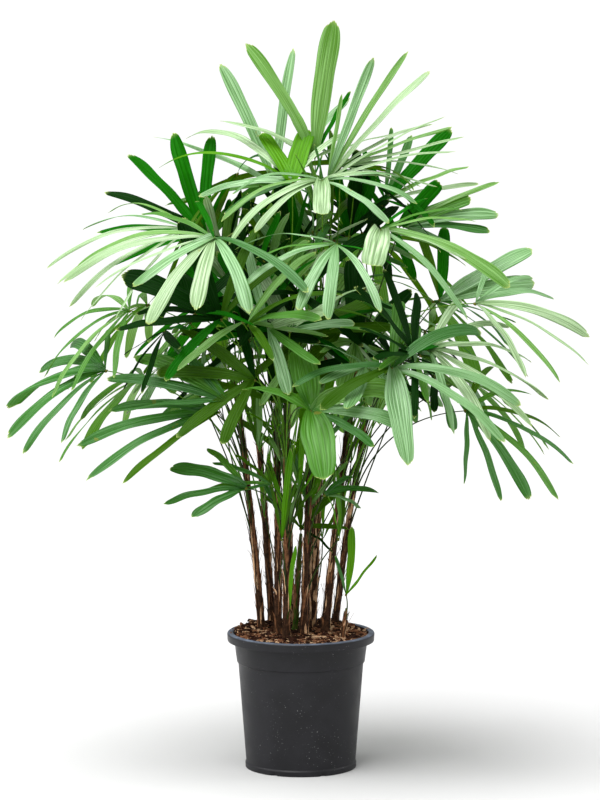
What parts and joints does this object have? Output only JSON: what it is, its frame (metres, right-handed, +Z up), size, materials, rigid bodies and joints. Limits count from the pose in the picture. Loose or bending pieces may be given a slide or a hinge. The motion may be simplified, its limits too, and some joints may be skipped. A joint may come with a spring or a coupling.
{
  "type": "lady palm in a nursery pot",
  "caption": "Clump of upright fibrous canes with fan-shaped, deeply cut palm fronds on thin stalks, growing in a round black plastic nursery pot with a rolled rim.",
  "frame": {"origin": "middle of the pot's flat underside, on the pot's axis", "axes": "+Z up along the pot's axis, +X to the right and +Y to the back, seen from the plant's fullest side"},
  "size_m": [1.0609, 0.8616, 1.365],
  "materials": {
    "pot": "matte black moulded plastic",
    "soil": "rough bark-chip potting mix",
    "cane": "fibrous brown bark",
    "leaf": "satin green leaf"
  },
  "bodies": {
    "root": {"cane_01": "cane", "cane_02": "cane", "cane_03": "cane", "cane_04": "cane", "cane_05": "cane", "cane_06": "cane", "cane_07": "cane", "cane_08": "cane", "cane_09": "cane", "cane_10": "cane", "cane_11": "cane", "cane_12": "cane", "frond_back_low_1": "leaf", "frond_back_low_2": "leaf", "frond_back_low_3": "leaf", "frond_back_middle_1": "leaf", "frond_back_middle_2": "leaf", "frond_back_middle_3": "leaf", "frond_back_middle_4": "leaf", "frond_back_top_1": "leaf", "frond_back_top_2": "leaf", "frond_back_top_3": "leaf", "frond_back_upper_1": "leaf", "frond_back_upper_2": "leaf", "frond_back_upper_3": "leaf", "frond_centre_front": "leaf", "frond_centre_inner": "leaf", "frond_centre_low": "leaf", "frond_far_left": "leaf", "frond_heart_right": "leaf", "frond_heart_upper": "leaf", "frond_left_centre": "leaf", "frond_left_folded": "leaf", "frond_left_front": "leaf", "frond_left_inner": "leaf", "frond_left_low": "leaf", "frond_left_middle": "leaf", "frond_low_front": "leaf", "frond_low_left": "leaf", "frond_low_left_inner": "leaf", "frond_low_right": "leaf", "frond_outer_right": "leaf", "frond_right_front": "leaf", "frond_right_low_front": "leaf", "frond_right_lower": "leaf", "frond_right_middle": "leaf", "frond_right_reach": "leaf", "frond_right_striped": "leaf", "frond_sucker_top": "leaf", "frond_sucker_upright": "leaf", "frond_top_centre": "leaf", "frond_top_front": "leaf", "frond_top_left": "leaf", "frond_top_right": "leaf", "frond_top_striped": "leaf", "frond_upper_left": "leaf", "frond_upper_right": "leaf", "frond_young_right": "leaf", "pot": "pot", "soil": "soil"}
  },
  "joints": []
}
